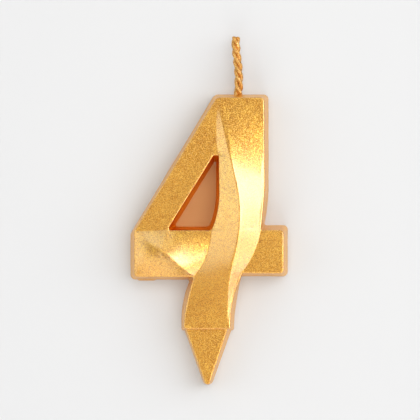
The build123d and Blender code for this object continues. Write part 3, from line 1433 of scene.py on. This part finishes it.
@dataclass(frozen=True)
class PaintedCotton:
    """Cotton yarn painted with the gold lacquer: duller than the figure, with painted shade in the hollows between
    its fibres.
    """

    name: str = "painted_cotton"
    # Painted shade: the colour where the bump is lowest, between fibres.
    hollow_shade: Colour = (0.34, 0.13, 0.02)
    mid: Colour = (0.72, 0.35, 0.08)
    pale: Colour = (0.96, 0.60, 0.25)
    tone_stops: tuple[float, float, float] = (0.3, 0.5, 0.68)
    fibre_size: float = 0.22
    fibre_share: float = 0.7
    blob_size: float = 0.3
    blob_share: float = 0.35
    bump_strength: float = 0.8
    bump_depth: float = 0.08
    metal: float = 0.9
    roughness: float = 0.45

    def material(self) -> bpy.types.Material:
        """Builds the node material.

        Returns:
            The material.
        """
        n = Nodes(self.name)
        fibres = n.noise(self.fibre_size, 5.0, 0.65)
        blobs = n.feed(n.add("TexVoronoi", feature="F1"), Vector=n.place(), Scale=1 / (self.blob_size * MM))
        tone = n.math("MULTIPLY", fibres, self.fibre_share)
        tone = n.math("ADD", tone, n.math("MULTIPLY", blobs.outputs["Distance"], self.blob_share))
        # Colour follows the bump's height, so the hollows between fibres get painted shade.
        colour = n.ramp(tone, list(zip(self.tone_stops, (self.hollow_shade, self.mid, self.pale), strict=True)))
        bump = n.feed(n.add("Bump"), Strength=self.bump_strength, Distance=self.bump_depth * MM, Height=tone)
        shader = n.add("BsdfPrincipled")
        n.feed(shader, Base_Color=colour, Metallic=self.metal, Roughness=self.roughness, Normal=bump.outputs[0])
        return n.finished(shader.outputs[0])


@dataclass(frozen=True)
class CandleWax:
    """The pale wax inside the lacquer."""

    name: str = "candle_wax"
    colour: Colour = (0.90, 0.86, 0.76)
    darkening: float = 0.93
    cloud_size: float = 3.0
    roughness: float = 0.42
    glow_share: float = 0.3
    glow_depth: float = 0.002

    def material(self) -> bpy.types.Material:
        """Builds the node material.

        Returns:
            The material.
        """
        n = Nodes(self.name)
        darker = tuple(self.darkening * part for part in self.colour)
        colour = n.ramp(n.noise(self.cloud_size, 3.0), [(0.3, darker), (0.7, self.colour)])
        shader = n.add("BsdfPrincipled")
        n.feed(shader, Base_Color=colour, Roughness=self.roughness)
        n.feed(shader, Subsurface_Weight=self.glow_share, Subsurface_Scale=self.glow_depth)
        return n.finished(shader.outputs[0])


@dataclass(frozen=True)
class PaleCard:
    """The plain pale surface that the candle lies on.

    It is clear from behind, so the candle's back can be looked at. Inside the window it carries painted shade
    with an orange painted bounce light from the gold walls.
    """

    name: str = "pale_card"
    colour: Colour = (0.80, 0.80, 0.80)
    # Painted shade and gold bounce light on the card inside the window.
    window_shade_and_bounce: Colour = (0.93, 0.48, 0.20)
    darkening: float = 0.995
    cloud_size: float = 40.0
    # Where that painted shade and bounce light lie.
    window: Spot = Spot((-3.0, 34.0), (7.5, 12.5), 1.25)

    def material(self) -> bpy.types.Material:
        """Builds the node material.

        Returns:
            The material.
        """
        n = Nodes(self.name)
        darker = tuple(self.darkening * part for part in self.colour)
        colour = n.ramp(n.noise(self.cloud_size, 2.0), [(0.3, darker), (0.7, self.colour)])
        # The card turns to the painted shade and bounce light inside the window.
        front = n.feed(n.add("BsdfDiffuse"), Color=n.mix(n.spot(self.window), colour, self.window_shade_and_bounce))
        clear = n.add("BsdfTransparent")
        behind = n.add("NewGeometry").outputs["Backfacing"]
        mixed = n.feed(n.add("MixShader"), Fac=behind, n1=front.outputs[0], n2=clear.outputs[0])
        return n.finished(mixed.outputs[0])


# ---------------------------------------------------------------- the studio


class Reach(Enum):
    """What a light falls on: shiny finishes or matt ones."""

    GLOSS = "gloss"
    MATT = "matt"


@dataclass(frozen=True)
class Lamp:
    """A soft rectangular light: its direction in degrees, its distance and size in metres, its power in watts."""

    name: str
    azimuth: float
    elevation: float
    distance: float
    size: Point
    power: float
    reach: Reach
    colour: Colour = (1.0, 1.0, 1.0)


@dataclass
class Studio:
    """Camera, lights, and the card behind the candle."""

    lamps: tuple[Lamp, ...]
    aim: Place
    card_y: float
    camera_distance: float = 1.2
    seen_width: float = 0.1114
    sensor: float = 36.0
    clipping: Point = (0.05, 10.0)
    card_size: float = 3.0
    card_points: int = 5
    spill: float = 0.22
    air: Colour = (0.22, 0.22, 0.22)
    background: Colour = (0.89, 0.89, 0.89)

    def build(self) -> None:
        """Builds the studio."""
        self._camera()
        self._world()
        self._card()
        for lamp in self.lamps:
            self._lamp(lamp)

    def _camera(self) -> None:
        """Places the camera straight in front, with a long lens."""
        data = bpy.data.cameras.new("camera")
        data.sensor_width = self.sensor
        data.lens = self.sensor * self.camera_distance / self.seen_width
        data.clip_start, data.clip_end = self.clipping
        camera = bpy.data.objects.new("camera", data)
        camera.location = (self.aim[0], self.card_y - self.camera_distance, self.aim[2])
        camera.rotation_euler = (math.pi / 2, 0, 0)
        bpy.context.scene.collection.objects.link(camera)
        bpy.context.scene.camera = camera

    def _world(self) -> None:
        """Even air light, with a paler tone for what the camera sees past the card."""
        world = bpy.data.worlds.new("air")
        bpy.context.scene.world = world
        world.use_nodes = True
        tree = world.node_tree
        tree.nodes.clear()
        light, seen = tree.nodes.new("ShaderNodeBackground"), tree.nodes.new("ShaderNodeBackground")
        light.inputs[0].default_value = (*self.air, 1)
        seen.inputs[0].default_value = (*self.background, 1)
        mix, path = tree.nodes.new("ShaderNodeMixShader"), tree.nodes.new("ShaderNodeLightPath")
        out = tree.nodes.new("ShaderNodeOutputWorld")
        tree.links.new(path.outputs["Is Camera Ray"], mix.inputs[0])
        tree.links.new(light.outputs[0], mix.inputs[1])
        tree.links.new(seen.outputs[0], mix.inputs[2])
        tree.links.new(mix.outputs[0], out.inputs[0])

    def _card(self) -> None:
        """Builds the pale card that the candle lies on."""
        line = np.linspace(-self.card_size / 2, self.card_size / 2, self.card_points)
        x, z = np.meshgrid(line, line)
        points = np.stack([x + self.aim[0], np.full_like(x, self.card_y), z + self.aim[2]], axis=2)
        mesh = bpy.data.meshes.new("card")
        index = np.arange(self.card_points**2).reshape(x.shape)
        quads = np.stack([index[:-1, :-1], index[:-1, 1:], index[1:, 1:], index[1:, :-1]], axis=2).reshape(-1, 4)
        mesh.from_pydata(points.reshape(-1, 3).tolist(), [], quads.tolist())
        card = bpy.data.objects.new("card", mesh)
        bpy.context.scene.collection.objects.link(card)
        mesh.materials.append(PaleCard().material())

    def _lamp(self, lamp: Lamp) -> None:
        """Places one soft light, turned towards the aim.

        Args:
            lamp: its direction, size and strength.
        """
        data = bpy.data.lights.new(lamp.name, "AREA")
        data.shape = "RECTANGLE"
        data.size, data.size_y = lamp.size
        data.energy = lamp.power
        data.color = lamp.colour
        turn, rise = math.radians(lamp.azimuth), math.radians(lamp.elevation)
        away = np.array([math.sin(turn) * math.cos(rise), -math.cos(turn) * math.cos(rise), math.sin(rise)])
        light = bpy.data.objects.new(lamp.name, data)
        light.location = np.array(self.aim) + away * lamp.distance
        light.rotation_euler = (math.pi / 2 - rise, 0, turn)
        light.visible_diffuse = lamp.reach is Reach.MATT
        light.visible_glossy = lamp.reach is Reach.GLOSS
        if lamp.reach is Reach.GLOSS:
            self._thin_spill(data)
        bpy.context.scene.collection.objects.link(light)

    def _thin_spill(self, data: bpy.types.Light) -> None:
        """Weakens what a light sends to the card by way of the candle.

        Args:
            data: the light.
        """
        data.use_nodes = True
        tree = data.node_tree
        emission = next(node for node in tree.nodes if node.type == "EMISSION")
        path, spill = tree.nodes.new("ShaderNodeLightPath"), tree.nodes.new("ShaderNodeMapRange")
        tree.links.new(path.outputs["Diffuse Depth"], spill.inputs["Value"])
        spill.inputs["To Min"].default_value, spill.inputs["To Max"].default_value = 1.0, self.spill
        tree.links.new(spill.outputs[0], emission.inputs["Strength"])


# ---------------------------------------------------------------- putting it together


def dress(piece: bpy.types.Object, material: bpy.types.Material, slot: str, *nodes: str) -> None:
    """Gives a piece its material and ties it to the model.

    Args:
        piece: the piece.
        material: its material.
        slot: the record's material slot.
        nodes: the model's nodes that the piece stands for.
    """
    piece.data.materials.clear()
    piece.data.materials.append(material)
    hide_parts(*nodes)
    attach(piece, BODY)
    LOG.info("%s stands for %s in %s", piece.name, ", ".join(nodes), slot)


# What the camera and the lamps point at, in metres.
AIM = (0.00053, 0.0, 0.03197)
WARM = (1.0, 0.60, 0.17)
SOFT_WARM = (1.0, 0.82, 0.55)
CLEAR = (0.92, 0.95, 1.0)
LEFT_TONE = (0.87, 1.0, 0.88)
LOW_TONE = (1.0, 0.97, 0.78)
LAMPS = (
    Lamp("key", 38.0, 6.0, 0.9, (0.42, 0.50), 3.7, Reach.GLOSS, CLEAR),
    Lamp("key_low", 47.0, -24.0, 0.9, (0.40, 0.42), 0.95, Reach.GLOSS, CLEAR),
    Lamp("key_high", 27.0, 22.0, 0.9, (0.34, 0.30), 0.45, Reach.GLOSS),
    Lamp("fill_left", -46.0, 5.0, 1.0, (0.90, 0.95), 4.0, Reach.GLOSS, LEFT_TONE),
    Lamp("front", 0.0, 0.0, 1.4, (1.2, 1.2), 1.15, Reach.GLOSS, WARM),
    Lamp("top", 0.0, 55.0, 1.0, (0.9, 0.5), 2.2, Reach.GLOSS, LEFT_TONE),
    Lamp("low", 5.0, -52.0, 1.0, (1.9, 1.15), 7.6, Reach.GLOSS, LOW_TONE),
    Lamp("soft_front", 8.0, 8.0, 1.2, (1.0, 1.0), 6.8, Reach.MATT),
    Lamp("soft_right", 52.0, 14.0, 1.1, (0.9, 0.9), 4.5, Reach.MATT),
    Lamp("soft_left", -55.0, 5.0, 1.1, (0.9, 0.9), 2.5, Reach.MATT),
    Lamp("soft_top", 0.0, 58.0, 1.1, (0.9, 0.9), 2.0, Reach.MATT),
    Lamp("soft_low", 0.0, -55.0, 1.1, (0.9, 0.9), 4.0, Reach.MATT),
    Lamp("back", 180.0, 0.0, 1.2, (3.2, 1.9), 20.0, Reach.GLOSS, SOFT_WARM),
)


def main() -> None:
    """Builds the studio, the figure and the wick."""
    logging.basicConfig(level=logging.INFO, format="%(name)s: %(message)s")
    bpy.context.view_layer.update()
    _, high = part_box("gold_lacquer")
    back_y = high[1] / MM
    Studio(LAMPS, aim=AIM, card_y=float(high[1]) - CARD_PRESS).build()
    bpy.context.scene.view_settings.view_transform = "Standard"

    lacquer = Figure("lacquer_skin", -back_y, back_y).build()
    dress(lacquer, GoldLacquer().material(), Slot.LACQUER.value, "gold_lacquer")
    wax = shrunk(lacquer, "wax_core", FILM_DEPTH)
    dress(wax, CandleWax().material(), Slot.WAX.value, "wax_body")
    for number, ply in enumerate(Wick().build()):
        dress(ply, PaintedCotton().material(), Slot.WICK.value, f"wick_ply_{number + 1}")


if __name__ == "__main__":
    main()
